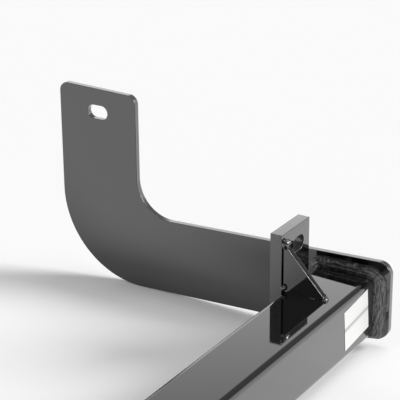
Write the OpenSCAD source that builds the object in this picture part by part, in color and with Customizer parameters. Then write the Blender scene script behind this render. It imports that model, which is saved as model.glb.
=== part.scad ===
// Receiver hitch: a welded steel cross tube that bolts under the rear of a vehicle.
// +X points to the vehicle's right, +Y forwards and +Z up. The origin is the middle of the
// receiver's open mouth, and the receiver's axis runs forwards along +Y.

/* [Cross tube] */
// Outside width and height of the square cross tube and of the receiver tube
tube_side = 63.5; // [59:0.5:72]
// Wall of the cross tube
tube_wall = 4.8; // [3:0.1:8]
// Outside radius of the cross tube's corners
tube_corner_r = 6.4; // [4:0.1:7.5]
// Length of the cross tube, which is also the gap between the side plates
tube_len = 1016; // [800:1:1300]

/* [Side plates] */
// Thickness of the side plates
plate_t = 6.4; // [4:0.1:10]
// How far a side plate stands out behind the cross tube
plate_behind = 15.9; // [12:0.1:30]
// How far the lower arm stands above the cross tube, measured over the tube's axis
plate_above = 15.6; // [12:0.1:30]
// How far the lower arm reaches below the cross tube, measured under the tube's axis
plate_below = 3.5; // [2:0.1:20]
// Angle at which the lower arm drops as it runs forwards
lower_arm_drop = 2.2; // [0:0.1:5]
// Distance from the cross tube's axis to the front edge of the upright arm
arm_front = 345; // [300:1:420]
// Width of the upright arm
arm_w = 96.2; // [70:0.1:120]
// Height of the upright arm above the cross tube's axis, at its rear edge
arm_top = 170.6; // [150:0.1:240]
// Angle at which the upright arm's top edge rises towards the front
arm_top_rise = 1.5; // [0:0.1:4]
// Radius of the big outer curve between the two arms
curve_out_r = 97.5; // [60:0.5:110]
// Radius of the inner curve between the two arms
curve_in_r = 40; // [20:1:70]
// Radius of the corners at the plate's rear end
rear_corner_r = 12.7; // [5:0.1:18]
// Radius of the corners at the upright arm's top
arm_corner_r = 10; // [4:0.5:20]
// Length of the bolt slot in the upright arm
arm_slot_len = 25; // [18:0.5:40]
// Width of the bolt slot in the upright arm
arm_slot_w = 15; // [9:0.5:17]
// Distance from the upright arm's top edge down to the slot's middle
arm_slot_drop = 26; // [18:0.5:50]

/* [Upright tabs] */
// Width of an upright tab along the cross tube
tab_w = 55.6; // [46:0.1:70]
// Distance from the cross tube's underside up to the tab's foot
tab_foot = 13.7; // [13:0.1:30]
// Thickness of an upright tab
tab_t = 12.7; // [8:0.1:16]
// How far the tab stands above the cross tube
tab_rise = 58.2; // [48:0.1:64]
// Gap from the side plate to the tab
tab_gap = 20.4; // [16:0.1:40]
// Length of the tab's bolt slot
tab_slot_len = 22; // [17:0.5:26]
// Width of the tab's bolt slot
tab_slot_w = 15; // [9:0.5:17]
// Distance from the tab's top edge down to the slot's middle
tab_slot_drop = 19.8; // [14:0.1:24]
// How far the slot's middle lies from the tab's middle, towards the side plate
tab_slot_shift = 5.4; // [0:0.1:8]

/* [Gussets] */
// Thickness of a gusset
gusset_t = 6.4; // [4:0.1:10]
// How far the gusset is set in from the tab's inboard end
gusset_inset = 1.2; // [0:0.1:6]
// Narrow gap left between the gusset's upright edge and the tab
gusset_fit_gap = 1.2; // [0:0.1:2]
// Distance from the tab's top down to the gusset's upper tip
gusset_drop = 11.2; // [2:0.1:20]
// Length of the gusset along the top of the tube, from the tab's rear face
gusset_run = 45; // [38:0.5:52]
// Blunt width left at the gusset's two tips
gusset_tip = 3; // [1:0.5:6]

/* [Receiver] */
// Width and height of the square socket
socket_side = 51.5; // [50.8:0.1:53]
// Outside radius of the receiver tube's corners
receiver_corner_r = 6.4; // [5:0.1:8]
// Inside radius of the socket's corners
socket_corner_r = 1.5; // [1:0.1:3]
// Length of the receiver from its mouth to the cross tube
receiver_len = 216; // [190:1:280]
// Distance from the mouth to the pin's axis
pin_setback = 63.5; // [55:0.5:70]
// Wall of the collar round the mouth
collar_wall = 9.2; // [6:0.1:14]
// Length of the collar
collar_len = 25; // [18:0.5:32]
// Outside radius of the collar's corners
collar_corner_r = 12; // [8:0.5:16]
// Bevel round the collar's two ends
collar_bevel = 3; // [1:0.5:5]

/* [Joint plate and chain plate] */
// Thickness of the plate on top of the joint
joint_plate_t = 6.4; // [4:0.1:10]
// Width of the joint plate where it lies on the cross tube
joint_plate_w = 150; // [110:1:200]
// Width of the joint plate's narrow end on the receiver
joint_plate_nose = 44; // [34:1:48]
// How far the joint plate reaches back along the receiver
joint_plate_back = 82; // [60:1:100]
// How far the top and bottom plates reach forwards across the cross tube
plate_lap = 42; // [30:1:48]
// Thickness of the safety chain plate
chain_plate_t = 9.5; // [6:0.1:12]
// Radius of the hole for a safety chain's hook
chain_hole_r = 15; // [12:0.5:18]
// Distance from the middle of the receiver to each chain hole
chain_hole_x = 68; // [62:0.5:90]
// Distance from the cross tube's rear face back to the chain holes
chain_hole_back = 62; // [50:1:90]
// Metal left round each chain hole
chain_rim = 15; // [10:0.5:20]
// Width of the chain plate's tongue under the cross tube
chain_tongue_w = 110; // [90:1:140]

/* [Welds] */
// Width of the end weld on the side plate
end_weld_leg = 10.5; // [6:0.5:12]
// Width of the end weld along the cross tube
end_weld_rise = 6; // [4:0.5:10]
// Width of the smaller welds on each of the two pieces they join
weld_leg = 6; // [4:0.5:7]
// Width of the gusset welds
gusset_weld_leg = 4.5; // [3:0.5:6]
// How far the gusset welds wrap round the gusset's ends
gusset_wrap = 2.5; // [1:0.5:4]
// Roundness of a bead's face, from 1 for a full bulge to 2 for a flat face
bead_power = 1.1; // [1:0.1:2]

/* [Label] */
// Width of the bare label on the rear of the cross tube
label_w = 50; // [30:1:60]
// Height of the label
label_h = 42.4; // [20:0.2:44]
// Thickness of the label's film
label_t = 0.3; // [0.2:0.05:0.5]
// Gap from the side plate to the middle of the label's nearer side
label_gap = 15.3; // [14:0.1:40]
// Height of the label's middle above the tube's middle
label_rise = 2.2; // [-2:0.1:4]
// Angle by which the label is stuck on crooked, with its nearer side up
label_turn = 6; // [-10:0.5:10]

/* [Hitch pin] */
// Diameter of the hitch pin
pin_d = 15.9; // [12:0.1:16.5]
// Gap all round between the pin and its holes
pin_clearance = 0.45; // [0.2:0.05:0.8]
// How far the pin's tip stands out past the receiver
pin_tip_out = 24; // [18:0.5:40]
// How far the straight shank stands out before the bend
pin_neck = 8; // [4:0.5:20]
// Radius of the bend at the middle of the rod
pin_bend_r = 20; // [14:0.5:30]
// Straight length of the handle past the bend
handle_len = 42; // [30:1:60]
// Bevel at the pin's two ends
pin_bevel = 2; // [1:0.5:4]
// Diameter of the cross hole for a spring clip
clip_hole_d = 4.6; // [3:0.1:6]
// Distance from the pin's tip to the cross hole
clip_hole_setback = 12; // [8:0.5:14]

/* [Hidden] */
$fn = 64;

// Steps along the curved face of a bead
bead_steps = 6;
// Overlap that lets a cutting shape pass right through a wall
cut = 1;
// How far a rounded corner's arc reaches past the edges that it joins
graze = 0.01;

tube_half = tube_side / 2;
tube_flat = tube_half - tube_corner_r;
// The receiver is as tall as the cross tube, so that plates lie flat across both
receiver_side = tube_side;
receiver_half = receiver_side / 2;
receiver_flat = receiver_half - receiver_corner_r;
axis_y = receiver_len + tube_half;
plate_rear = tube_half + plate_behind;
plate_top = tube_half + plate_above;
lower_arm_h = tube_side + plate_above + plate_below;
tab_top_z = tube_half + tab_rise;
tab_bottom_z = tab_foot - tube_half;
tab_h = tab_top_z - tab_bottom_z;
tab_near_x = -tab_gap;
tab_far_x = -tab_gap - tab_w;
gusset_far_x = tab_far_x + gusset_inset;
gusset_near_x = gusset_far_x + gusset_t;
gusset_top_z = tab_top_z - gusset_drop;
gusset_toe_y = tube_half - gusset_run;
collar_side = receiver_side + 2 * collar_wall;
pin_r = pin_d / 2;
arm_rear = arm_front - arm_w;

PAINT = [0.09, 0.09, 0.095];
BEAD_PAINT = [0.12, 0.12, 0.125];
LABEL = [0.93, 0.93, 0.92];
ZINC = [0.72, 0.73, 0.75];

// Outline helpers

function unit(v) = v / norm(v);

// Heights of the lower arm's edges, which drop towards the front
function lower_edge_z(y) = plate_top - lower_arm_h - y * tan(lower_arm_drop);
function upper_edge_z(y) = plate_top - y * tan(lower_arm_drop);

// A square with rounded corners, centred on the origin
module rounded_square(side, r) {
    square([side - 2 * r, side], center = true);
    square([side, side - 2 * r], center = true);
    for (x = [-1, 1], y = [-1, 1])
        translate([x, y] * (side / 2 - r))
            circle(r);
}

// A slot with round ends that runs along the first axis, centred on the origin
module slot(length, width) {
    square([length - width, width], center = true);
    for (side = [-1, 1])
        translate([side * (length - width) / 2, 0])
            circle(d = width);
}

// The sliver between the sharp corner at p, whose edges run towards a and b, and an arc of
// radius r. It reaches a little past both edges, and its circle stands a hair nearer to the
// corner than one that only touches them, so that arc and edges cross cleanly.
module corner_sliver(p, a, b, r) {
    ua = unit(a - p);
    ub = unit(b - p);
    half_angle = acos(ua * ub) / 2;
    middle = unit(ua + ub);
    centre = p + middle * (r - graze) / sin(half_angle);
    touch_a = p + ua * r / tan(half_angle);
    touch_b = p + ub * r / tan(half_angle);
    difference() {
        polygon([
            p - middle * 2 * cut,
            centre + unit(touch_a - centre) * (r + cut),
            centre,
            centre + unit(touch_b - centre) * (r + cut)
        ]);
        translate(centre)
            rotate(atan2(middle.y, middle.x))
                circle(r, $fn = 128);
    }
}

// Turns a drawing of Y and Z into a solid that is t thick and ends at x = 0 on its inboard side
module along_x(t) {
    rotate([90, 0, 90])
        linear_extrude(t)
            children();
}

// Puts a right end's pieces in place: x = 0 is the right side plate's inner face,
// and y = z = 0 is the cross tube's axis
module right_end() {
    translate([tube_len / 2, axis_y, 0])
        children();
}

module left_end() {
    mirror([1, 0, 0])
        right_end()
            children();
}

// Welds

// Section of a bead in an inside corner: out along the first piece, up along the second
module bead_section(leg, rise) {
    arc = [for (i = [0:bead_steps])
        let (a = 90 * i / bead_steps)
        [leg * pow(sin(a), bead_power), rise * pow(cos(a), bead_power)]];
    polygon(concat([[0, 0]], arc));
}

// A straight bead that starts at the origin and runs along +Z
module straight_bead(length, leg, rise) {
    linear_extrude(length)
        bead_section(leg, rise);
}

// A bead that runs right round a square tube whose axis is Z and which stands on z = 0
module ring_bead(side, r, leg, rise) {
    flat = side - 2 * r;
    for (quarter = [0:3])
        rotate(90 * quarter) {
            translate([side / 2, flat / 2, 0])
                rotate([90, 0, 0])
                    straight_bead(flat, leg, rise);
            translate([flat / 2, flat / 2, 0])
                rotate_extrude(angle = 90)
                    translate([r, 0])
                        bead_section(leg, rise);
        }
}

// Cross tube

module cross_tube() {
    color(PAINT)
        translate([-tube_len / 2, axis_y, 0])
            along_x(tube_len)
                difference() {
                    rounded_square(tube_side, tube_corner_r);
                    rounded_square(tube_side - 2 * tube_wall, max(tube_corner_r - tube_wall, 0.5));
                }
}

// Side plates

// The plate's outline seen from the side: a lower arm that runs forwards from behind the
// cross tube, and an upright arm in front
module side_plate_outline() {
    rear_low = [-plate_rear, lower_edge_z(-plate_rear)];
    front_low = [arm_front, lower_edge_z(arm_front)];
    front_high = [arm_front, arm_top + arm_w * tan(arm_top_rise)];
    arm_rear_high = [arm_rear, arm_top];
    inner = [arm_rear, upper_edge_z(arm_rear)];
    rear_high = [-plate_rear, upper_edge_z(-plate_rear)];
    difference() {
        polygon([rear_low, front_low, front_high, arm_rear_high, inner, rear_high]);
        corner_sliver(rear_low, rear_high, front_low, rear_corner_r);
        corner_sliver(front_low, rear_low, front_high, curve_out_r);
        corner_sliver(front_high, front_low, arm_rear_high, arm_corner_r);
        corner_sliver(arm_rear_high, front_high, inner, arm_corner_r);
        corner_sliver(rear_high, inner, rear_low, rear_corner_r);
    }
    corner_sliver(inner, arm_rear_high, rear_high, curve_in_r);
}

// Middle of the bolt slot, half way across the upright arm
arm_slot_y = arm_front - arm_w / 2;
arm_slot_z = arm_top + arm_w / 2 * tan(arm_top_rise) - arm_slot_drop;

module side_plate() {
    color(PAINT)
        along_x(plate_t)
            difference() {
                side_plate_outline();
                translate([arm_slot_y, arm_slot_z])
                    slot(arm_slot_len, arm_slot_w);
            }
}

// The bead that joins the cross tube's end to the plate, cut off flush where the plate ends
module end_weld() {
    color(BEAD_PAINT)
        intersection() {
            rotate([0, -90, 0])
                ring_bead(tube_side, tube_corner_r, end_weld_leg, end_weld_rise);
            translate([-end_weld_rise, 0, 0])
                along_x(end_weld_rise)
                    side_plate_outline();
        }
}

// Upright tabs

module upright_tab() {
    slot_x = (tab_near_x + tab_far_x) / 2 + tab_slot_shift;
    color(PAINT)
        difference() {
            translate([tab_far_x, tube_half, tab_bottom_z])
                cube([tab_w, tab_t, tab_h]);
            translate([slot_x, tube_half + tab_t + cut, tab_top_z - tab_slot_drop])
                rotate([90, 0, 0])
                    linear_extrude(tab_t + 2 * cut)
                        slot(tab_slot_len, tab_slot_w);
        }
}

// Beads down both ends of the tab and along its bottom, on the tube's front face
module tab_weld() {
    side_len = tube_flat - tab_bottom_z;
    color(BEAD_PAINT)
        translate([0, tube_half, 0]) {
            translate([tab_near_x, 0, tab_bottom_z])
                straight_bead(side_len, weld_leg, weld_leg);
            translate([tab_far_x, 0, tab_bottom_z])
                mirror([1, 0, 0])
                    straight_bead(side_len, weld_leg, weld_leg);
            translate([tab_far_x, 0, tab_bottom_z])
                rotate([0, 90, 0])
                    straight_bead(tab_w, weld_leg, weld_leg);
            tab_weld_corner(tab_near_x, 0);
            tab_weld_corner(tab_far_x, 90);
        }
}

// The quarter turn where a side bead runs into the bottom bead
module tab_weld_corner(x, turn) {
    translate([x, 0, tab_bottom_z])
        rotate([-90, turn, 0])
            rotate_extrude(angle = 90)
                bead_section(weld_leg, weld_leg);
}

// Gussets

// A triangle that props the tab from behind. It stands on the flat of the tube and stops
// a hair short of the tab, where the beads bridge the gap.
module gusset() {
    inner_y = tube_half - gusset_fit_gap;
    color(PAINT)
        translate([gusset_far_x, 0, 0])
            along_x(gusset_t)
                polygon([
                    [gusset_toe_y, tube_half],
                    [inner_y, tube_half],
                    [inner_y, gusset_top_z],
                    [inner_y - gusset_tip, gusset_top_z],
                    [gusset_toe_y, tube_half + gusset_tip]
                ]);
}

// Beads along the gusset's outboard face, on the tab and on the tube, and the small
// returns that wrap round its two tips and its foot
module gusset_weld() {
    wrap_len = gusset_t + gusset_weld_leg;
    color(BEAD_PAINT) {
        translate([gusset_near_x, tube_half, tube_half])
            mirror([0, 1, 0])
                straight_bead(gusset_top_z - tube_half, gusset_weld_leg, gusset_weld_leg);
        translate([gusset_near_x, tube_flat, tube_half])
            rotate([90, 0, 0])
                straight_bead(tube_flat - gusset_toe_y, gusset_weld_leg, gusset_weld_leg);
        translate([gusset_far_x, tube_half, gusset_top_z])
            rotate([0, 90, 0])
                rotate([0, 0, 180])
                    straight_bead(wrap_len, gusset_wrap, gusset_fit_gap + gusset_tip);
        translate([gusset_far_x, gusset_toe_y, tube_half])
            rotate([90, 0, 90])
                mirror([1, 0, 0])
                    straight_bead(wrap_len, gusset_wrap, gusset_tip);
    }
}

// Receiver

module receiver_shell_outline() {
    rounded_square(receiver_side, receiver_corner_r);
}

// Turns a drawing of X and Z into a solid that runs forwards from y = from to y = to
module along_y(from, to) {
    translate([0, to, 0])
        rotate([90, 0, 0])
            linear_extrude(to - from)
                children();
}

module receiver_tube() {
    color(PAINT)
        difference() {
            along_y(0, receiver_len)
                difference() {
                    receiver_shell_outline();
                    rounded_square(socket_side, socket_corner_r);
                }
            translate([0, pin_setback, 0])
                rotate([0, 90, 0])
                    cylinder(r = pin_r + pin_clearance, h = receiver_side + 2 * cut, center = true);
        }
}

// Fillets up both sides of the receiver, and the metal that fills the grooves over the
// cross tube's rounded corners
module receiver_weld() {
    side_h = 2 * min(receiver_flat, tube_flat);
    color(BEAD_PAINT) {
        for (side = [0, 1])
            mirror([side, 0, 0])
                translate([receiver_half, receiver_len, -side_h / 2])
                    mirror([0, 1, 0])
                        straight_bead(side_h, weld_leg, weld_leg);
        for (side = [0, 1])
            mirror([0, 0, side])
                difference() {
                    translate([-receiver_flat, receiver_len, tube_flat])
                        cube([2 * receiver_flat, tube_corner_r, tube_corner_r]);
                    translate([0, axis_y - tube_flat, tube_flat])
                        rotate([0, 90, 0])
                            cylinder(r = tube_corner_r, h = 2 * receiver_side, center = true);
                }
    }
}

// A block of the collar's length whose edges are bevelled at both ends
module bevelled_profile() {
    half = collar_side / 2;
    inset = half - collar_bevel;
    polygon([
        [0, -inset], [collar_bevel, -half], [collar_len - collar_bevel, -half], [collar_len, -inset],
        [collar_len, inset], [collar_len - collar_bevel, half], [collar_bevel, half], [0, inset]
    ]);
}

module receiver_collar() {
    color(PAINT)
        difference() {
            intersection() {
                along_y(0, collar_len)
                    rounded_square(collar_side, collar_corner_r);
                translate([-collar_side / 2, 0, 0])
                    along_x(collar_side)
                        bevelled_profile();
                translate([0, 0, -collar_side / 2])
                    linear_extrude(collar_side)
                        mirror([1, -1, 0])
                            bevelled_profile();
            }
            along_y(-cut, collar_len + cut)
                receiver_shell_outline();
        }
}

module collar_weld() {
    color(BEAD_PAINT)
        translate([0, collar_len, 0])
            rotate([-90, 0, 0])
                ring_bead(receiver_side, receiver_corner_r, weld_leg, weld_leg);
}

// Joint plate, on top of the receiver and the cross tube

joint_plate_rear = receiver_len - joint_plate_back;
lap_front = receiver_len + plate_lap;

module joint_plate() {
    color(PAINT)
        translate([0, 0, tube_half])
            linear_extrude(joint_plate_t)
                polygon([
                    [-joint_plate_nose / 2, joint_plate_rear],
                    [joint_plate_nose / 2, joint_plate_rear],
                    [joint_plate_w / 2, receiver_len + tube_corner_r],
                    [joint_plate_w / 2, lap_front],
                    [-joint_plate_w / 2, lap_front],
                    [-joint_plate_w / 2, receiver_len + tube_corner_r]
                ]);
}

// Beads along the joint plate's front edge on the cross tube and its rear edge on the receiver
module joint_plate_weld() {
    color(BEAD_PAINT) {
        translate([-joint_plate_w / 2, lap_front, tube_half])
            rotate([90, 0, 90])
                straight_bead(joint_plate_w, weld_leg, joint_plate_t);
        translate([-joint_plate_nose / 2, joint_plate_rear, tube_half])
            rotate([90, 0, 90])
                mirror([1, 0, 0])
                    straight_bead(joint_plate_nose, weld_leg, joint_plate_t);
    }
}

// Chain plate, under the receiver and the cross tube

chain_ear_r = chain_hole_r + chain_rim;
chain_hole_y = receiver_len - chain_hole_back;

module chain_plate() {
    color(PAINT)
        translate([0, 0, -tube_half - chain_plate_t])
            linear_extrude(chain_plate_t)
                difference() {
                    union() {
                        translate([-chain_hole_x, chain_hole_y - chain_ear_r])
                            square([2 * chain_hole_x, 2 * chain_ear_r]);
                        translate([-chain_tongue_w / 2, chain_hole_y])
                            square([chain_tongue_w, lap_front - chain_hole_y]);
                        for (side = [-1, 1])
                            translate([side * chain_hole_x, chain_hole_y])
                                circle(chain_ear_r);
                    }
                    for (side = [-1, 1])
                        translate([side * chain_hole_x, chain_hole_y])
                            circle(chain_hole_r);
                }
}

// Beads along both sides of the receiver on the plate's top face, and along the tongue's
// front edge on the cross tube
module chain_plate_weld() {
    rear_y = chain_hole_y - chain_ear_r;
    length = receiver_len - weld_leg - rear_y;
    color(BEAD_PAINT) {
        for (side = [0, 1])
            mirror([side, 0, 0])
                difference() {
                    union() {
                        translate([receiver_half, receiver_len - weld_leg, -receiver_half])
                            rotate([90, 0, 0])
                                straight_bead(length, weld_leg, weld_leg);
                        translate([receiver_flat, rear_y, -receiver_half])
                            cube([receiver_corner_r, length, receiver_corner_r]);
                    }
                    along_y(0, receiver_len)
                        receiver_shell_outline();
                }
        translate([-chain_tongue_w / 2, lap_front, -tube_half])
            rotate([90, 0, 90])
                mirror([0, 1, 0])
                    straight_bead(chain_tongue_w, weld_leg, chain_plate_t);
    }
}

// Label, a bare film on the rear face, whose highest corner just reaches the tube's rounding

module label_band() {
    difference() {
        rounded_square(tube_side + 2 * label_t, tube_corner_r + label_t);
        rounded_square(tube_side, tube_corner_r);
    }
}

module rating_label() {
    color(LABEL)
        right_end()
            translate([-label_gap - label_w / 2, 0, 0])
                intersection() {
                    translate([-label_w, 0, 0])
                        along_x(2 * label_w)
                            label_band();
                    translate([0, -tube_half - cut, label_rise])
                        rotate([0, -label_turn, 0])
                            translate([-label_w / 2, 0, -label_h / 2])
                                cube([label_w, tube_corner_r + cut, label_h]);
                }
}

// Hitch pin: a bent rod that slides out to the right

pin_tip_x = -receiver_half - pin_tip_out;
pin_bend_x = receiver_half + pin_neck;

// A rod along +Z with a bevelled far end
module bevelled_rod(length) {
    cylinder(r = pin_r, h = length - pin_bevel);
    translate([0, 0, length - pin_bevel])
        cylinder(r1 = pin_r, r2 = pin_r - pin_bevel, h = pin_bevel);
}

module hitch_pin() {
    color(ZINC)
        translate([0, pin_setback, 0])
            difference() {
                union() {
                    translate([pin_bend_x, 0, 0])
                        rotate([0, -90, 0])
                            bevelled_rod(pin_bend_x - pin_tip_x);
                    translate([pin_bend_x, -pin_bend_r, 0])
                        rotate_extrude(angle = 90)
                            translate([pin_bend_r, 0])
                                circle(pin_r);
                    translate([pin_bend_x + pin_bend_r, -pin_bend_r, 0])
                        rotate([90, 0, 0])
                            bevelled_rod(handle_len);
                }
                translate([pin_tip_x + clip_hole_setback, 0, 0])
                    cylinder(d = clip_hole_d, h = pin_d + 2 * cut, center = true);
            }
}

cross_tube();
right_end() side_plate();  // right_side_plate
left_end() side_plate();  // left_side_plate
right_end() end_weld();  // right_end_weld
left_end() end_weld();  // left_end_weld
right_end() upright_tab();  // right_upright_tab
left_end() upright_tab();  // left_upright_tab
right_end() tab_weld();  // right_tab_weld
left_end() tab_weld();  // left_tab_weld
right_end() gusset();  // right_gusset
left_end() gusset();  // left_gusset
right_end() gusset_weld();  // right_gusset_weld
left_end() gusset_weld();  // left_gusset_weld
receiver_tube();
receiver_weld();
receiver_collar();
collar_weld();
joint_plate();
joint_plate_weld();
chain_plate();
chain_plate_weld();
rating_label();
hitch_pin();
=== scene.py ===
import bisect
import math
import random
import bmesh
import bpy
from mathutils import Matrix, Vector, noise


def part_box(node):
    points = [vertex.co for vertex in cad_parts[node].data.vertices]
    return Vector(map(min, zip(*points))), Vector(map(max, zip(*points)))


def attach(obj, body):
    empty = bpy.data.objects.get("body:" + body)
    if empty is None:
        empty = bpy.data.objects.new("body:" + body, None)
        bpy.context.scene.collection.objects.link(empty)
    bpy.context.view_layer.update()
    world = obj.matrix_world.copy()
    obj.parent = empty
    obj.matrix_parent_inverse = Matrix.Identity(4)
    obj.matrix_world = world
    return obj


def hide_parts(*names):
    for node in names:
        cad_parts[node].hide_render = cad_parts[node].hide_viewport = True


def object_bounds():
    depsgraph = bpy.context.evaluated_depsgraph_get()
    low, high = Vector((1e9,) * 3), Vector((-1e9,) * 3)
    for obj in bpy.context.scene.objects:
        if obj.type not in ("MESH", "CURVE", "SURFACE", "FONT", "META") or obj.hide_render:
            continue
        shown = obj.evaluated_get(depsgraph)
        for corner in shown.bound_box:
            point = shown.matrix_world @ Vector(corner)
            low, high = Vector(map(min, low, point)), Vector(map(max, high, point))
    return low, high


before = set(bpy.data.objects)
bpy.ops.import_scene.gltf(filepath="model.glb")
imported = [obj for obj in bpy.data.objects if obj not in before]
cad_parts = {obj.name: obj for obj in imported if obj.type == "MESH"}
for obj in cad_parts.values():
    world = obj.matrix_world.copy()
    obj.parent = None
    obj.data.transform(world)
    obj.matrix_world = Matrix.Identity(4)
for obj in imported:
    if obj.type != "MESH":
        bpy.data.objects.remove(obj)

# Studio
# A pale floor, a low window in front and to the right, a low white wall that only reflections
# show, a broad key light behind and a weak fill overhead. The camera looks down from behind
# and inboard of the right end.

MM = 0.001
cad_low, cad_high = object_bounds()

CAMERA_PLACE = Vector((-762.6, -373.2, 675.2)) * MM
CAMERA_AZIMUTH = math.radians(58.09)
CAMERA_DROP = math.radians(21.95)
CAMERA_ROLL = math.radians(-0.51)
CAMERA_LENS = 140.5
CAMERA_FILM = 36
FLOOR_HALF = 8.0
FLOOR_GAP = 0.05 * MM
FLOOR_COLOUR = (0.97, 0.97, 0.97)
FLOOR_GLOW = 0.12
LAMP_DISTANCE = 3.0
ROOM_LEVEL = 0.22
# The window's level at rising heights, each the sine of an angle above the floor
WINDOW = [(0.0, 1.5), (0.37, 1.3), (0.42, 0.85), (0.48, 0.5), (0.6, 0.0)]
WINDOW_WAY = (0.849, 0.529, 0)
# How squarely a direction faces the window where its sides start and where they are full
WINDOW_SIDES = (0.76, 0.86)
# The white wall fades out between these heights, sines of angles too
WALL_TOP = (0.24, 0.34)


def link(obj):
    bpy.context.scene.collection.objects.link(obj)
    return obj


def new_tree(owner):
    owner.use_nodes = True
    owner.node_tree.nodes.clear()
    return owner.node_tree


def join(tree, source, target):
    tree.links.new(source, target)


def combine(tree, operation, first, second):
    """What a math node makes of two values. The second is an output or a plain number."""
    node = tree.nodes.new("ShaderNodeMath")
    node.operation = operation
    join(tree, first, node.inputs[0])
    if isinstance(second, bpy.types.NodeSocket):
        join(tree, second, node.inputs[1])
    else:
        node.inputs[1].default_value = second
    return node.outputs[0]


def fade(tree, value, span, ends=(0, 1), smooth=True):
    """Fades from one end to the other over a span of the value, and holds them beyond it."""
    node = tree.nodes.new("ShaderNodeMapRange")
    node.interpolation_type = "SMOOTHSTEP" if smooth else "LINEAR"
    node.inputs["From Min"].default_value = span[0]
    node.inputs["From Max"].default_value = span[1]
    node.inputs["To Min"].default_value = ends[0]
    node.inputs["To Max"].default_value = ends[1]
    join(tree, value, node.inputs["Value"])
    return node.outputs["Result"]


def shown_rays(tree, reach=None):
    """1 for the rays that show a background: the camera's own, reflected and transmitted ones.

    reach is a value that the reflected and transmitted ones are multiplied by.
    """
    path = tree.nodes.new("ShaderNodeLightPath")
    second = combine(tree, "MAXIMUM", path.outputs["Is Glossy Ray"], path.outputs["Is Transmission Ray"])
    if reach:
        second = combine(tree, "MULTIPLY", second, reach)
    return combine(tree, "MAXIMUM", path.outputs["Is Camera Ray"], second)


def floor_material():
    material = bpy.data.materials.new("pale_floor")
    tree = new_tree(material)
    paper = tree.nodes.new("ShaderNodeBsdfDiffuse")
    paper.inputs["Color"].default_value = (*FLOOR_COLOUR, 1)
    glow = tree.nodes.new("ShaderNodeEmission")
    mix = tree.nodes.new("ShaderNodeMixShader")
    out = tree.nodes.new("ShaderNodeOutputMaterial")
    join(tree, combine(tree, "MULTIPLY", shown_rays(tree), FLOOR_GLOW), mix.inputs["Fac"])
    join(tree, paper.outputs[0], mix.inputs[1])
    join(tree, glow.outputs[0], mix.inputs[2])
    join(tree, mix.outputs[0], out.inputs["Surface"])
    return material


def lay_floor():
    mesh = bpy.data.meshes.new("floor")
    level = cad_low.z - FLOOR_GAP
    corners = [(x * FLOOR_HALF, y * FLOOR_HALF, level) for x, y in ((-1, -1), (1, -1), (1, 1), (-1, 1))]
    mesh.from_pydata(corners, [], [(0, 1, 2, 3)])
    mesh.materials.append(floor_material())
    link(bpy.data.objects.new("floor", mesh))


def light_room():
    """A dim room with one low, wide window, and the white wall that reflections show."""
    world = bpy.data.worlds.new("studio")
    bpy.context.scene.world = world
    tree = new_tree(world)
    direction = tree.nodes.new("ShaderNodeTexCoord")
    split = tree.nodes.new("ShaderNodeSeparateXYZ")
    ramp = tree.nodes.new("ShaderNodeValToRGB")
    marks = ramp.color_ramp.elements
    marks[0].position, marks[1].position = WINDOW[0][0], WINDOW[-1][0]
    for height, _ in WINDOW[1:-1]:
        marks.new(height)
    for mark, (_, level) in zip(marks, WINDOW):
        mark.color = (level, level, level, 1)
    facing = tree.nodes.new("ShaderNodeVectorMath")
    facing.operation = "DOT_PRODUCT"
    facing.inputs[1].default_value = WINDOW_WAY
    join(tree, direction.outputs["Generated"], split.inputs[0])
    join(tree, direction.outputs["Generated"], facing.inputs[0])
    join(tree, split.outputs["Z"], ramp.inputs["Fac"])
    sides = fade(tree, facing.outputs["Value"], WINDOW_SIDES)
    window = combine(tree, "MULTIPLY", sides, ramp.outputs["Color"])
    wall = fade(tree, split.outputs["Z"], WALL_TOP, ends=(1, 0))
    room = tree.nodes.new("ShaderNodeBackground")
    white = tree.nodes.new("ShaderNodeBackground")
    white.inputs["Color"].default_value = (1, 1, 1, 1)
    mix = tree.nodes.new("ShaderNodeMixShader")
    out = tree.nodes.new("ShaderNodeOutputWorld")
    join(tree, combine(tree, "ADD", window, ROOM_LEVEL), room.inputs["Color"])
    join(tree, shown_rays(tree, wall), mix.inputs["Fac"])
    join(tree, room.outputs[0], mix.inputs[1])
    join(tree, white.outputs[0], mix.inputs[2])
    join(tree, mix.outputs[0], out.inputs["Surface"])


def far_light(name, azimuth, height, level, width):
    """A large, far lamp that lights a white face turned to it to level. Angles are in degrees."""
    lamp = bpy.data.lights.new(name, "SUN")
    lamp.energy = level * math.pi
    lamp.angle = math.radians(width)
    turn, rise = math.radians(azimuth), math.radians(height)
    toward = Vector((math.sin(turn) * math.cos(rise), math.cos(turn) * math.cos(rise), math.sin(rise)))
    obj = link(bpy.data.objects.new(name, lamp))
    obj.location = toward * LAMP_DISTANCE
    obj.rotation_euler = toward.to_track_quat("Z", "Y").to_euler()


def place_camera():
    forward = Vector((
        math.sin(CAMERA_AZIMUTH) * math.cos(CAMERA_DROP),
        math.cos(CAMERA_AZIMUTH) * math.cos(CAMERA_DROP),
        -math.sin(CAMERA_DROP),
    ))
    level = forward.cross(Vector((0, 0, 1))).normalized()
    upright = level.cross(forward)
    right = level * math.cos(CAMERA_ROLL) + upright * math.sin(CAMERA_ROLL)
    up = right.cross(forward)
    camera = bpy.data.cameras.new("camera")
    camera.lens = CAMERA_LENS
    camera.sensor_width = CAMERA_FILM
    obj = link(bpy.data.objects.new("camera", camera))
    turned = Matrix((right, up, -forward)).transposed()
    obj.matrix_world = Matrix.Translation(CAMERA_PLACE) @ turned.to_4x4()
    bpy.context.scene.camera = obj


lay_floor()
light_room()
far_light("rear_key", azimuth=148, height=28, level=1.0, width=24)
far_light("overhead_fill", azimuth=140, height=75, level=0.25, width=40)
place_camera()
bpy.context.scene.view_settings.view_transform = "Standard"

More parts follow.
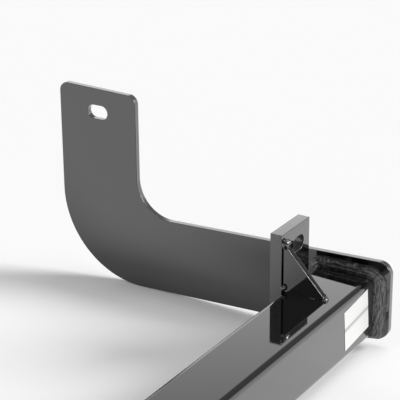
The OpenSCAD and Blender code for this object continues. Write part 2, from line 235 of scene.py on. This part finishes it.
# Cross tube
# Square steel tube with rolled corners, closed at both ends by the side plates. Like all the
# steel here it has a gloss black powder coat, which flows out to a faint orange peel.

FLAT_ANGLE = math.radians(0.5)
SHARP_ANGLE = math.radians(30)
CREASE_ANGLE = math.radians(60)
SEAM = 2e-6
EDGE_STEPS = 3
LARGE_FACES_FIRST = 100
PAINT_IOR = 1.8
CLEAR_ROUGHNESS = 0.04
# Slow clouds and fine dust in the coat, in waves per metre, with the span of each that shows
CLOUD_SIZE = 9
CLOUD_SPAN = (0.3, 0.7)
CLOUD_TINT = 0.35
CLOUD_HAZE = 0.05
DUST_SIZE = 900
DUST_SPAN = (0.62, 0.78)
DUST_HAZE = 0.12


def coat_group():
    """Powder coat: its colour, roughness and surface normal, from the size and depth of its waves."""
    group = bpy.data.node_groups.new("powder_coat", "ShaderNodeTree")
    wanted = (
        ("Base", "NodeSocketColor"),
        ("Gloss Loss", "NodeSocketFloat"),
        ("Peel Size", "NodeSocketFloat"),
        ("Peel Depth", "NodeSocketFloat"),
    )
    for name, kind in wanted:
        group.interface.new_socket(name, in_out="INPUT", socket_type=kind)
    given = (
        ("Color", "NodeSocketColor"),
        ("Roughness", "NodeSocketFloat"),
        ("Normal", "NodeSocketVector"),
    )
    for name, kind in given:
        group.interface.new_socket(name, in_out="OUTPUT", socket_type=kind)
    nodes = group.nodes
    into = nodes.new("NodeGroupInput")
    out = nodes.new("NodeGroupOutput")
    place = nodes.new("ShaderNodeTexCoord")

    def cloud(scale, detail):
        texture = nodes.new("ShaderNodeTexNoise")
        texture.inputs["Scale"].default_value = scale
        texture.inputs["Detail"].default_value = detail
        join(group, place.outputs["Object"], texture.inputs["Vector"])
        return texture

    # Slow drifts in the film's thickness, which change its colour and gloss a little
    drift = cloud(CLOUD_SIZE, 3)
    tint = nodes.new("ShaderNodeMixRGB")
    tint.blend_type = "MULTIPLY"
    tint.inputs["Fac"].default_value = CLOUD_TINT
    join(group, into.outputs["Base"], tint.inputs["Color1"])
    join(group, drift.outputs["Fac"], tint.inputs["Color2"])
    join(group, tint.outputs["Color"], out.inputs["Color"])

    # Fine dust that dulls the gloss in specks
    dust = cloud(DUST_SIZE, 2)
    specks = fade(group, dust.outputs["Fac"], DUST_SPAN, ends=(0, DUST_HAZE), smooth=False)
    haze = fade(group, drift.outputs["Fac"], CLOUD_SPAN, ends=(0, CLOUD_HAZE), smooth=False)
    dulled = combine(group, "ADD", combine(group, "ADD", specks, haze), into.outputs["Gloss Loss"])
    join(group, dulled, out.inputs["Roughness"])

    # Orange peel
    peel = cloud(1, 1)
    bump = nodes.new("ShaderNodeBump")
    bump.inputs["Strength"].default_value = 1
    join(group, into.outputs["Peel Size"], peel.inputs["Scale"])
    join(group, peel.outputs["Fac"], bump.inputs["Height"])
    join(group, into.outputs["Peel Depth"], bump.inputs["Distance"])
    join(group, bump.outputs["Normal"], out.inputs["Normal"])
    return group


POWDER_COAT = coat_group()


def painted(name, base, gloss_loss, peel_size, peel_depth, coat=1.0, ior=PAINT_IOR):
    """Powder-coated steel. Its peel's size is in waves per metre and its peel's depth in metres."""
    material = bpy.data.materials.new(name)
    tree = new_tree(material)
    film = tree.nodes.new("ShaderNodeGroup")
    film.node_tree = POWDER_COAT
    film.inputs["Base"].default_value = (*base, 1)
    film.inputs["Gloss Loss"].default_value = gloss_loss
    film.inputs["Peel Size"].default_value = peel_size
    film.inputs["Peel Depth"].default_value = peel_depth
    paint = tree.nodes.new("ShaderNodeBsdfPrincipled")
    paint.inputs["IOR"].default_value = ior
    paint.inputs["Coat Weight"].default_value = coat
    paint.inputs["Coat Roughness"].default_value = CLEAR_ROUGHNESS
    out = tree.nodes.new("ShaderNodeOutputMaterial")
    join(tree, film.outputs["Color"], paint.inputs["Base Color"])
    join(tree, film.outputs["Roughness"], paint.inputs["Roughness"])
    join(tree, film.outputs["Normal"], paint.inputs["Normal"])
    join(tree, paint.outputs[0], out.inputs["Surface"])
    return material


def cad_shape(node):
    """The node's own shape as clean faces: seams closed and flat triangles merged."""
    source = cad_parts[node].data
    bm = bmesh.new()
    verts = [bm.verts.new(v.co) for v in source.vertices]
    for face in source.polygons:
        bm.faces.new([verts[i] for i in face.vertices])
    bmesh.ops.remove_doubles(bm, verts=bm.verts, dist=SEAM)
    bmesh.ops.dissolve_limit(bm, angle_limit=FLAT_ANGLE, verts=bm.verts, edges=bm.edges)
    bmesh.ops.recalc_face_normals(bm, faces=bm.faces)
    return bm


def add_piece(node, bm, materials, body="hitch", edge=0):
    """Puts a mesh in the scene in the node's place. edge is the radius that softens its sharp edges."""
    mesh = bpy.data.meshes.new(node)
    if not edge:
        for line in bm.edges:
            line.smooth = not line.is_manifold or line.calc_face_angle() < CREASE_ANGLE
    bm.to_mesh(mesh)
    bm.free()
    mesh.shade_smooth()
    for material in materials:
        mesh.materials.append(material)
    piece = link(bpy.data.objects.new("dressed_" + node, mesh))
    if edge:
        soften = piece.modifiers.new("soft_edges", "BEVEL")
        soften.width = edge
        soften.segments = EDGE_STEPS
        soften.limit_method = "ANGLE"
        soften.angle_limit = SHARP_ANGLE
        soften.miter_outer = "MITER_ARC"
    steady = piece.modifiers.new("flat_faces_stay_flat", "WEIGHTED_NORMAL")
    steady.mode = "FACE_AREA"
    steady.weight = LARGE_FACES_FIRST
    steady.keep_sharp = True
    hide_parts(node)
    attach(piece, body)
    return piece


GLOSS_PAINT = painted(
    "gloss_black_paint", base=(0.004, 0.004, 0.0045), gloss_loss=0.03, peel_size=260, peel_depth=4e-6)
add_piece("cross_tube", cad_shape("cross_tube"), [GLOSS_PAINT])

# Side plates
# Quarter inch plate cut to an L, with a bolt slot in its upright arm. The faces carry the same
# gloss. The cut edges are slightly rough under the paint, and their paler paint is painted highlight.

PLATE_EDGE = 0.5 * MM
# The cut edges' paint is paler than the faces' as a painted highlight; only its extra roughness is real.
CUT_PAINT_WITH_PAINTED_HIGHLIGHT = painted(
    "paint_on_cut_edges_painted_highlight", base=(0.05, 0.05, 0.052), gloss_loss=0.2, peel_size=700, peel_depth=20e-6)


def mark_faces(bm, test):
    """Gives the second material to the faces that pass the test."""
    for face in bm.faces:
        if test(face.normal):
            face.material_index = 1
    return bm


for side in ("right", "left"):
    outline = mark_faces(cad_shape(side + "_side_plate"), lambda normal: abs(normal.x) < 0.5)
    add_piece(side + "_side_plate", outline, [GLOSS_PAINT, CUT_PAINT_WITH_PAINTED_HIGHLIGHT], edge=PLATE_EDGE)

# End welds
# A heavy fillet of steel all round the tube's end. It was laid in one pass, whose pool froze in
# streaks along the bead and in ripples where it turned the tube's corners, and it climbs
# further up the side plate than it reaches along the tube. Paint covers it.

tube_low, tube_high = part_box("cross_tube")
tube_middle = (tube_low + tube_high) / 2
tube_half = (tube_high.z - tube_low.z) / 2
RIGHT = Vector((1, 0, 0))
FORWARD = Vector((0, 1, 0))
UP = Vector((0, 0, 1))
TUBE_CORNER = 6.4 * MM
# The side plate's lower rear corner and edge, which the bead stays on
PLATE_CORNER = 12.7 * MM
PLATE_FOOT = -35.25 * MM
PLATE_SLOPE = math.tan(math.radians(2.2))
WELD_INSET = 0.3 * MM
# The bead's size, and how much it sinks and spreads on the tube's rear face
END_WELD_LEG = 10.5 * MM
END_WELD_RISE = 4.8 * MM
REAR_SAG = 0.25
REAR_SPREAD = 0.22
# Its section, and the slow waver of its width
BEAD_STEP = 0.45 * MM
BEAD_SECTION = 28
BEAD_POWER = 1.1
KNEE_STEPS = 4
END_TAPER = 0.8
END_LEAST = 0.02
WAVER = 0.09
WAVER_LENGTH = 9 * MM
WAVER_SEED = 3.7
# Ripples across the bead, bowed forward at its crown, and lumps along it
RIPPLE_PITCH = 2.5 * MM
PITCH_SPREAD = (0.7, 1.35)
RIPPLE_HEIGHT = 0.3 * MM
HEIGHT_SPREAD = (0.1, 1.2)
RIPPLE_BOW = 1.5 * MM
RIPPLE_LEAN = 0.6
RIPPLE_SINK = 0.6
KNEE_RIPPLE = 8
LUMP_HEIGHT = 0.35 * MM
LUMP_LENGTH = 4.5 * MM
LUMP_WIDTH = 2.2 * MM
LUMP_SEED = 5.3
KNEE_LUMP = 8
# Pits with a raised rim, at these lengths along the seam
END_WELD_CRATERS = (59 * MM, 65 * MM)
CRATER_RADIUS = 2.1 * MM
CRATER_RIM = 0.7 * MM
CRATER_DEPTH = 0.8 * MM
CRATER_LIP = 0.6
CRATER_FLOOR = 1.6
# Streaks, and the span of their noise in which the paint turns from dark to pale
STREAK_HEIGHT = 3.2 * MM
STREAK_LENGTH = 8 * MM
STREAK_WIDTH = 1.7 * MM
STREAK_TONES = (0.4, 0.6)
WELD_DARK = (0.008, 0.008, 0.008)
WELD_PALE = (0.15, 0.15, 0.153)
WELD_IOR = 2.1
# Distances across the bead in which the painted shade at its toe ends and the painted shade at its rim
# starts
TOE_SHADE_END = (0.5 * MM, 3 * MM)
RIM_SHADE_START = (7.5 * MM, 10.5 * MM)


def weld_material():
    """Paint over a bead's frozen surface, with streaks drawn out along the bead and painted shade at its
    toe and rim.
    """
    material = painted(
        "paint_on_welds", base=WELD_DARK, gloss_loss=0.06, peel_size=900, peel_depth=30e-6,
        coat=0, ior=WELD_IOR)
    tree = material.node_tree
    film = next(node for node in tree.nodes if node.type == "GROUP")
    paint = next(node for node in tree.nodes if node.type == "BSDF_PRINCIPLED")
    path = tree.nodes.new("ShaderNodeUVMap")
    path.uv_map = "bead_path"
    split = tree.nodes.new("ShaderNodeSeparateXYZ")
    stretch = tree.nodes.new("ShaderNodeMapping")
    stretch.inputs["Scale"].default_value = (1 / STREAK_LENGTH, 1 / STREAK_WIDTH, 1)
    streaks = tree.nodes.new("ShaderNodeTexNoise")
    streaks.inputs["Scale"].default_value = 1
    streaks.inputs["Detail"].default_value = 3
    join(tree, path.outputs["UV"], split.inputs[0])
    join(tree, path.outputs["UV"], stretch.inputs["Vector"])
    join(tree, stretch.outputs["Vector"], streaks.inputs["Vector"])

    # Painted shade: the paint stays dark along the bead's toe and rim, and the pale streaks show only on
    # the crown between them.
    toe = fade(tree, split.outputs["Y"], TOE_SHADE_END)
    rim = fade(tree, split.outputs["Y"], RIM_SHADE_START, ends=(1, 0))
    crown_between_painted_shade = combine(tree, "MULTIPLY", toe, rim)
    tone = tree.nodes.new("ShaderNodeValToRGB")
    marks = tone.color_ramp.elements
    marks[0].position, marks[1].position = STREAK_TONES
    marks[0].color = (*WELD_DARK, 1)
    marks[1].color = (*WELD_PALE, 1)
    join(tree, combine(tree, "MULTIPLY", crown_between_painted_shade, streaks.outputs["Fac"]), tone.inputs["Fac"])
    join(tree, tone.outputs["Color"], film.inputs["Base"])

    bump = tree.nodes.new("ShaderNodeBump")
    bump.inputs["Strength"].default_value = 1
    bump.inputs["Distance"].default_value = STREAK_HEIGHT
    join(tree, streaks.outputs["Fac"], bump.inputs["Height"])
    join(tree, film.outputs["Normal"], bump.inputs["Normal"])
    join(tree, bump.outputs["Normal"], paint.inputs["Normal"])
    return material


WELD_PAINT = weld_material()


def line_run(start, end, out):
    """Stations along a straight seam, each a point and the direction away from the corner."""
    count = max(2, round((end - start).length / BEAD_STEP))
    return [(start.lerp(end, i / count), out) for i in range(count + 1)]


def ring_run(centre, right, up, half, corner):
    """Stations once round a square tube with rounded corners."""
    stations = []
    flat = half - corner
    for quarter in range(4):
        turn = math.pi / 2 * quarter
        out = right * math.cos(turn) + up * math.sin(turn)
        along = up * math.cos(turn) - right * math.sin(turn)
        face = centre + out * half
        stations += line_run(face - along * flat, face + along * flat, out)[:-1]
        knee = centre + out * flat + along * flat
        steps = round(corner * math.pi / 2 / BEAD_STEP) + KNEE_STEPS
        for i in range(steps):
            angle = math.pi / 2 * i / steps
            bend = out * math.cos(angle) + along * math.sin(angle)
            stations.append((knee + bend * corner, bend))
    return stations


def crater(distance):
    """Height at a distance from the middle of a pit with a raised rim."""
    rim = math.exp(-((distance - CRATER_RADIUS) / CRATER_RIM) ** 2)
    return CRATER_DEPTH * (CRATER_LIP * rim - math.exp(-(distance / CRATER_RIM / CRATER_FLOOR) ** 2))


def lay_bead(bm, stations, up, leg, rise, seed, closed=False, craters=()):
    """A rippled bead along the stations: leg wide along each station's own direction, rise along up.

    Its ripples and lumps stand higher where the seam turns. craters are lengths along the seam.
    """
    chance = random.Random(seed)
    travel = [0.0]
    for (here, _), (there, _) in zip(stations, stations[1:]):
        travel.append(travel[-1] + (there - here).length)
    length = travel[-1]
    edges = [-2 * RIPPLE_PITCH]
    while edges[-1] < length + 2 * RIPPLE_PITCH:
        edges.append(edges[-1] + RIPPLE_PITCH * chance.uniform(*PITCH_SPREAD))
    heights = [RIPPLE_HEIGHT * chance.uniform(*HEIGHT_SPREAD) ** 2 for _ in edges]
    rings = []
    for (point, out), gone in zip(stations, travel):
        taper = 1.0
        if not closed:
            margin = min(gone, length - gone) / (END_TAPER * leg)
            taper = math.sqrt(max(END_LEAST, 1 - (1 - min(margin, 1)) ** 2))
        sway = noise.noise(Vector((gone / WAVER_LENGTH, seed * WAVER_SEED, 0)))
        knee = 1 - max(abs(out.x), abs(out.y), abs(out.z))
        ring = [bm.verts.new(point)]
        for i in range(BEAD_SECTION + 1):
            angle = math.pi / 2 * i / BEAD_SECTION
            wide = leg * math.sin(angle) ** BEAD_POWER * (1 + WAVER * sway)
            tall = rise * math.cos(angle) ** BEAD_POWER * (1 - WAVER * sway)
            crest = math.sin(2 * angle)
            phase = gone + RIPPLE_BOW * crest
            k = bisect.bisect_right(edges, phase) - 1
            t = ((phase - edges[k]) / (edges[k + 1] - edges[k])) ** RIPPLE_LEAN
            swell = heights[k] * 4 * t * (1 - t) * crest ** 0.5 * (1 + KNEE_RIPPLE * knee)
            across = (leg + rise) / 2 * angle
            lump = noise.noise(Vector((gone / LUMP_LENGTH, across / LUMP_WIDTH, seed * LUMP_SEED)))
            lump *= LUMP_HEIGHT * (1 + KNEE_LUMP * knee)
            lift = swell - heights[k] * RIPPLE_SINK * crest + lump * crest ** 0.5
            for middle in craters:
                lift += crater(math.hypot(gone - middle, across - (leg + rise) * math.pi / 8))
            normal = (out * math.sin(angle) + up * math.cos(angle)).normalized()
            ring.append(bm.verts.new(point + (out * wide + up * tall + normal * lift) * taper))
        rings.append(ring)
    path = bm.loops.layers.uv.get("bead_path") or bm.loops.layers.uv.new("bead_path")
    arc = (leg + rise) / 2 * math.pi / 2 / BEAD_SECTION
    count = len(rings)
    for i in range(count if closed else count - 1):
        here, there = rings[i], rings[(i + 1) % count]
        start = travel[i]
        end = travel[i + 1] if i + 1 < count else start + BEAD_STEP
        for j in range(len(here)):
            k = (j + 1) % len(here)
            face = bm.faces.new((here[j], here[k], there[k], there[j]))
            inner, outer = j * arc, (j + 1) * arc
            places = ((start, inner), (start, outer), (end, outer), (end, inner))
            for loop, place in zip(face.loops, places):
                loop[path].uv = place
    if not closed:
        bm.faces.new(rings[0])
        bm.faces.new(rings[-1])


def add_weld(node, draw):
    """Adds a weld that draw lays in a new mesh; the left one is the right one's mirror image."""
    bm = bmesh.new()
    draw(bm)
    if node.startswith("left"):
        bmesh.ops.scale(bm, vec=(-1, 1, 1), verts=bm.verts)
    bmesh.ops.recalc_face_normals(bm, faces=bm.faces)
    return add_piece(node, bm, [WELD_PAINT])


def end_weld(bm):
    centre = Vector((tube_high.x, tube_middle.y, tube_middle.z))
    stations = ring_run(centre, FORWARD, UP, tube_half, TUBE_CORNER)
    lay_bead(bm, stations, -RIGHT, END_WELD_LEG, END_WELD_RISE, seed=5, closed=True,
             craters=END_WELD_CRATERS)
    plate_low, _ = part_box("right_side_plate")
    knee_y = plate_low.y + PLATE_CORNER
    knee_z = PLATE_FOOT - (knee_y - tube_middle.y) * PLATE_SLOPE + PLATE_CORNER
    for vert in bm.verts:
        behind = min(max((tube_low.y + TUBE_CORNER - vert.co.y) / TUBE_CORNER, 0), 1)
        vert.co.x += (tube_high.x - vert.co.x) * REAR_SAG * behind
        vert.co.y -= max(tube_low.y - vert.co.y, 0) * REAR_SPREAD
        foot = PLATE_FOOT - (vert.co.y - tube_middle.y) * PLATE_SLOPE + WELD_INSET
        vert.co.z = max(vert.co.z, foot)
        reach = Vector((vert.co.y - knee_y, vert.co.z - knee_z))
        if reach.x < 0 and reach.y < 0 and reach.length > PLATE_CORNER - WELD_INSET:
            reach *= (PLATE_CORNER - WELD_INSET) / reach.length
            vert.co.y, vert.co.z = knee_y + reach.x, knee_z + reach.y


for side in ("right", "left"):
    add_weld(side + "_end_weld", end_weld)

# Upright tabs
# Half inch flat bar that stands up in front of the tube, with a bolt slot near its top. Beads
# on the tube's front face run down both its ends and along its foot.

BAR_EDGE = 0.4 * MM
WELD_LEG = 6 * MM

for side in ("right", "left"):
    bar = mark_faces(cad_shape(side + "_upright_tab"), lambda normal: abs(normal.y) < 0.5)
    add_piece(side + "_upright_tab", bar, [GLOSS_PAINT, CUT_PAINT_WITH_PAINTED_HIGHLIGHT], edge=BAR_EDGE)


def straight_bead(bm, start, end, out, up, leg, rise, seed):
    """A bead along a straight seam, leg wide along out and rise wide along up."""
    lay_bead(bm, line_run(start, end, out), up, leg, rise, seed)


def tab_weld(bm):
    low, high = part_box("right_upright_tab")
    top = tube_high.z - TUBE_CORNER
    face_y = tube_high.y
    near = Vector((high.x, face_y, low.z))
    far = Vector((low.x, face_y, low.z))
    near_top = Vector((high.x, face_y, top))
    far_top = Vector((low.x, face_y, top))
    straight_bead(bm, near, near_top, RIGHT, FORWARD, WELD_LEG, WELD_LEG, seed=11)
    straight_bead(bm, far, far_top, -RIGHT, FORWARD, WELD_LEG, WELD_LEG, seed=12)
    straight_bead(bm, far, near, -UP, FORWARD, WELD_LEG, WELD_LEG, seed=13)


for side in ("right", "left"):
    add_weld(side + "_tab_weld", tab_weld)

# Gussets
# A triangle of quarter inch plate that props each tab from behind. A hair of a gap shows along
# the tab, because the beads are on the outboard face and only tacks hold the other one.

GUSSET_EDGE = 0.5 * MM
GUSSET_LEG = 4.5 * MM
# Each tack's offset from its corner of the gusset, its half sizes, both in millimetres, and its seed
UPPER_INNER_TACK = ((1.6, -2.6, 1.5), (4, 4, 5), 1)
UPPER_OUTER_TACK = ((-0.6, -2.4, 1.8), (4, 3.4, 4), 5)
TOE_TACK = ((0, -0.4, 0.8), (4.2, 2.6, 2.4), 2)
HEEL_TACK = ((-1.2, -2, 4.4), (3.2, 3, 3.4), 3)
SIDE_TACK = ((-0.2, 12, 0.2), (0.8, 3, 0.8), 4)
TACK_UNEVEN = 0.16
TACK_LUMPS = 2.2

for side in ("right", "left"):
    add_piece(
        side + "_gusset", cad_shape(side + "_gusset"), [GLOSS_PAINT], edge=GUSSET_EDGE)


def tack(bm, corner, offset, size, seed):
    """A small lump of weld, smooth but uneven."""
    centre = corner + Vector(offset) * MM
    made = bmesh.ops.create_icosphere(bm, subdivisions=3, radius=1)
    for vert in made["verts"]:
        uneven = 1 + TACK_UNEVEN * noise.noise(vert.co * TACK_LUMPS + Vector((seed, 0, 0)))
        stretched = Vector((vert.co.x * size[0], vert.co.y * size[1], vert.co.z * size[2])) * MM
        vert.co = centre + stretched * uneven


def gusset_weld(bm):
    low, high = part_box("right_gusset")
    tab_y = tube_high.y
    flat_y = tab_y - TUBE_CORNER
    top = tube_high.z
    heel = Vector((high.x, tab_y, top))
    tip = Vector((high.x, tab_y, high.z))
    foot = Vector((high.x, flat_y, top))
    toe = Vector((high.x, low.y, top))
    straight_bead(bm, heel, tip, RIGHT, -FORWARD, GUSSET_LEG, GUSSET_LEG, seed=21)
    straight_bead(bm, foot, toe, RIGHT, UP, GUSSET_LEG, GUSSET_LEG, seed=22)
    tack(bm, Vector((low.x, tab_y, high.z)), *UPPER_INNER_TACK)
    tack(bm, tip, *UPPER_OUTER_TACK)
    tack(bm, Vector(((low.x + high.x) / 2, low.y, top)), *TOE_TACK)
    tack(bm, Vector((low.x, tab_y, top)), *HEEL_TACK)
    tack(bm, Vector((low.x, low.y, top)), *SIDE_TACK)


for side in ("right", "left"):
    add_weld(side + "_gusset_weld", gusset_weld)

# Receiver
# The square socket for a ball mount's shank, butted against the cross tube, with a thick
# collar round its mouth. Beads run up both its sides, along the grooves above and below it
# and all round it in front of the collar.

RECEIVER_EDGE = 0.5 * MM
COLLAR_EDGE = 1 * MM
# The beads in the grooves that the cross tube's rounded corners leave
GROOVE_REACH = 1.5 * MM
GROOVE_DEPTH = 4 * MM
GROOVE_LEG = 3.4 * MM

_, receiver_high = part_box("receiver_tube")
_, collar_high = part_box("receiver_collar")
add_piece(
    "receiver_tube", cad_shape("receiver_tube"), [GLOSS_PAINT], edge=RECEIVER_EDGE)
add_piece(
    "receiver_collar", cad_shape("receiver_collar"), [GLOSS_PAINT], edge=COLLAR_EDGE)


def receiver_weld(bm):
    half = receiver_high.x
    flat = half - TUBE_CORNER
    joint_y = receiver_high.y
    for hand in (1, -1):
        low = Vector((hand * half, joint_y, -flat))
        high = Vector((hand * half, joint_y, flat))
        straight_bead(bm, low, high, RIGHT * hand, -FORWARD, WELD_LEG, WELD_LEG, seed=31 + hand)
    groove = joint_y + GROOVE_REACH
    for hand in (1, -1):
        left = Vector((-flat, groove, hand * (half - GROOVE_DEPTH)))
        right = Vector((flat, groove, hand * (half - GROOVE_DEPTH)))
        straight_bead(bm, left, right, FORWARD, UP * hand, GROOVE_LEG, GROOVE_LEG, seed=35 + hand)


def collar_weld(bm):
    centre = Vector((0, collar_high.y, 0))
    stations = ring_run(centre, RIGHT, UP, receiver_high.x, TUBE_CORNER)
    lay_bead(bm, stations, FORWARD, WELD_LEG, WELD_LEG, seed=41, closed=True)


add_weld("receiver_weld", receiver_weld)
add_weld("collar_weld", collar_weld)

# Joint plate
# A tapered plate that lies across the joint of the two tubes and ties their top faces
# together, with a bead at its front edge and another at its nose.

joint_low, joint_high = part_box("joint_plate")
JOINT_NOSE = 44 * MM
joint = mark_faces(cad_shape("joint_plate"), lambda normal: abs(normal.z) < 0.5)
add_piece("joint_plate", joint, [GLOSS_PAINT, CUT_PAINT_WITH_PAINTED_HIGHLIGHT], edge=PLATE_EDGE)


def joint_plate_weld(bm):
    thick = joint_high.z - joint_low.z
    left = Vector((joint_low.x, joint_high.y, joint_low.z))
    right = Vector((joint_high.x, joint_high.y, joint_low.z))
    straight_bead(bm, left, right, FORWARD, UP, WELD_LEG, thick, seed=51)
    left = Vector((-JOINT_NOSE / 2, joint_low.y, joint_low.z))
    right = Vector((JOINT_NOSE / 2, joint_low.y, joint_low.z))
    straight_bead(bm, left, right, -FORWARD, UP, WELD_LEG, thick, seed=52)


add_weld("joint_plate_weld", joint_plate_weld)

# Chain plate
# A thick plate under the receiver with a hole on each side for a safety chain's hook. It is
# welded along both sides of the receiver and along its front edge under the cross tube.

chain_low, chain_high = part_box("chain_plate")
CHAIN_TONGUE = 110 * MM
CHAIN_LEG = 8 * MM
CHAIN_INSET = 3 * MM
chain = mark_faces(cad_shape("chain_plate"), lambda normal: abs(normal.z) < 0.5)
add_piece("chain_plate", chain, [GLOSS_PAINT, CUT_PAINT_WITH_PAINTED_HIGHLIGHT], edge=PLATE_EDGE)


def chain_plate_weld(bm):
    thick = chain_high.z - chain_low.z
    for hand in (1, -1):
        seam_x = hand * (receiver_high.x - CHAIN_INSET)
        rear = Vector((seam_x, chain_low.y, chain_high.z))
        front = Vector((seam_x, receiver_high.y - WELD_LEG, chain_high.z))
        straight_bead(bm, rear, front, RIGHT * hand, UP, CHAIN_LEG, CHAIN_LEG, seed=61 + hand)
    left = Vector((-CHAIN_TONGUE / 2, chain_high.y, chain_high.z))
    right = Vector((CHAIN_TONGUE / 2, chain_high.y, chain_high.z))
    straight_bead(bm, left, right, FORWARD, -UP, WELD_LEG, thick, seed=65)


add_weld("chain_plate_weld", chain_plate_weld)

# Rating label
# A white film on the rear face of the cross tube, stuck on a little crooked. It carries blank
# ruled rows and a grey divider a little above its middle.

FILM_EDGE = 0.05 * MM
FILM_TONES = ((0.7, 0.7, 0.69), (0.74, 0.74, 0.73))
FILM_CLOUDS = 60
FILM_WAVES = 0.05 * MM
FILM_ROUGHNESS = 0.35
LABEL_TURN = math.radians(6)
ROW_PITCH = 4.4 * MM
ROW_HEIGHT = 1.1 * MM
ROW_REACH = 21 * MM
ROW_INK = 0.1
DIVIDER_PLACE = 1.2 * MM
DIVIDER_HEIGHT = 4.2 * MM
DIVIDER_INK = 0.46
INK = (0.1, 0.1, 0.1)


def film_material():
    """White film ruled in grey along the label's own width."""
    material = bpy.data.materials.new("label_film")
    tree = new_tree(material)
    place = tree.nodes.new("ShaderNodeTexCoord")
    low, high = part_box("rating_label")
    middle = (low + high) / 2
    wide = Vector((math.cos(LABEL_TURN), 0, math.sin(LABEL_TURN)))
    tall = Vector((-math.sin(LABEL_TURN), 0, math.cos(LABEL_TURN)))

    def distance(way, start):
        """Distance along a way from a point that lies start beyond the label's middle."""
        along = tree.nodes.new("ShaderNodeVectorMath")
        along.operation = "DOT_PRODUCT"
        along.inputs[1].default_value = way
        join(tree, place.outputs["Object"], along.inputs[0])
        return combine(tree, "SUBTRACT", along.outputs["Value"], way.dot(middle) + start)

    def within(gap, most):
        return combine(tree, "LESS_THAN", gap, most)

    height = distance(tall, DIVIDER_PLACE)
    row = within(combine(tree, "PINGPONG", height, ROW_PITCH / 2), ROW_HEIGHT / 2)
    inside = within(combine(tree, "ABSOLUTE", distance(wide, 0), 0), ROW_REACH)
    divider = within(combine(tree, "ABSOLUTE", height, 0), DIVIDER_HEIGHT / 2)
    rows = combine(tree, "MULTIPLY", combine(tree, "MULTIPLY", row, ROW_INK), inside)
    ink = combine(tree, "MAXIMUM", rows, combine(tree, "MULTIPLY", divider, DIVIDER_INK))

    cloud = tree.nodes.new("ShaderNodeTexNoise")
    cloud.inputs["Scale"].default_value = FILM_CLOUDS
    tone = tree.nodes.new("ShaderNodeValToRGB")
    for mark, colour in zip(tone.color_ramp.elements, FILM_TONES):
        mark.color = (*colour, 1)
    ruled = tree.nodes.new("ShaderNodeMixRGB")
    ruled.inputs["Color2"].default_value = (*INK, 1)
    bump = tree.nodes.new("ShaderNodeBump")
    bump.inputs["Distance"].default_value = FILM_WAVES
    film = tree.nodes.new("ShaderNodeBsdfPrincipled")
    film.inputs["Roughness"].default_value = FILM_ROUGHNESS
    out = tree.nodes.new("ShaderNodeOutputMaterial")
    join(tree, place.outputs["Object"], cloud.inputs["Vector"])
    join(tree, cloud.outputs["Fac"], tone.inputs["Fac"])
    join(tree, cloud.outputs["Fac"], bump.inputs["Height"])
    join(tree, ink, ruled.inputs["Fac"])
    join(tree, tone.outputs["Color"], ruled.inputs["Color1"])
    join(tree, ruled.outputs["Color"], film.inputs["Base Color"])
    join(tree, bump.outputs["Normal"], film.inputs["Normal"])
    join(tree, film.outputs[0], out.inputs["Surface"])
    return material


add_piece("rating_label", cad_shape("rating_label"), [film_material()], edge=FILM_EDGE)

# Hitch pin
# A bright zinc-plated steel rod, bent at one end into a handle and bevelled at both. It slides
# out to the right once its spring clip is off, and has a cross hole for that clip.

PIN_EDGE = 0.3 * MM
ZINC = (0.62, 0.64, 0.66)
# The grain drawn along the rod, in waves per metre, and the roughness that it goes between
GRAIN = (40, 900, 900)
GRAIN_ROUGHNESS = (0.18, 0.38)
GRAIN_DEPTH = 0.01 * MM


def zinc_material():
    material = bpy.data.materials.new("bright_zinc")
    tree = new_tree(material)
    place = tree.nodes.new("ShaderNodeTexCoord")
    stretch = tree.nodes.new("ShaderNodeMapping")
    stretch.inputs["Scale"].default_value = GRAIN
    grain = tree.nodes.new("ShaderNodeTexNoise")
    grain.inputs["Scale"].default_value = 1
    grain.inputs["Detail"].default_value = 4
    bump = tree.nodes.new("ShaderNodeBump")
    bump.inputs["Distance"].default_value = GRAIN_DEPTH
    metal = tree.nodes.new("ShaderNodeBsdfPrincipled")
    metal.inputs["Base Color"].default_value = (*ZINC, 1)
    metal.inputs["Metallic"].default_value = 1
    out = tree.nodes.new("ShaderNodeOutputMaterial")
    join(tree, place.outputs["Object"], stretch.inputs["Vector"])
    join(tree, stretch.outputs["Vector"], grain.inputs["Vector"])
    rough = fade(tree, grain.outputs["Fac"], (0, 1), ends=GRAIN_ROUGHNESS, smooth=False)
    join(tree, rough, metal.inputs["Roughness"])
    join(tree, grain.outputs["Fac"], bump.inputs["Height"])
    join(tree, bump.outputs["Normal"], metal.inputs["Normal"])
    join(tree, metal.outputs[0], out.inputs["Surface"])
    return material


add_piece("hitch_pin", cad_shape("hitch_pin"), [zinc_material()], body="pin", edge=PIN_EDGE)
